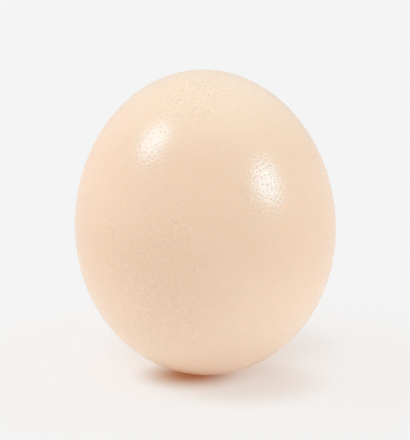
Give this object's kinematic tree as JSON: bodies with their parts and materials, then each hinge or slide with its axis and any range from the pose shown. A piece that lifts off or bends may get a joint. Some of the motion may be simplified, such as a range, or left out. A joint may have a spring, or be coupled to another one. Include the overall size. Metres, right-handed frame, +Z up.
{
  "type": "ostrich egg",
  "caption": "Large upright egg, an ovoid slightly slimmer at its top, with a hard glossy cream shell pitted all over by pores.",
  "frame": {"origin": "centre of the small flat spot that the egg stands on, at its blunt end", "axes": "+Z up from the flat spot, along the egg's length; -Y is the egg's front, and +X is to the right seen from the front; the egg's own long axis leans 2.4 degrees from +Z towards -X"},
  "size_m": [0.1274, 0.1274, 0.1493],
  "materials": {
    "shell": "satin"
  },
  "bodies": {
    "root": {"egg": "shell"}
  },
  "joints": []
}
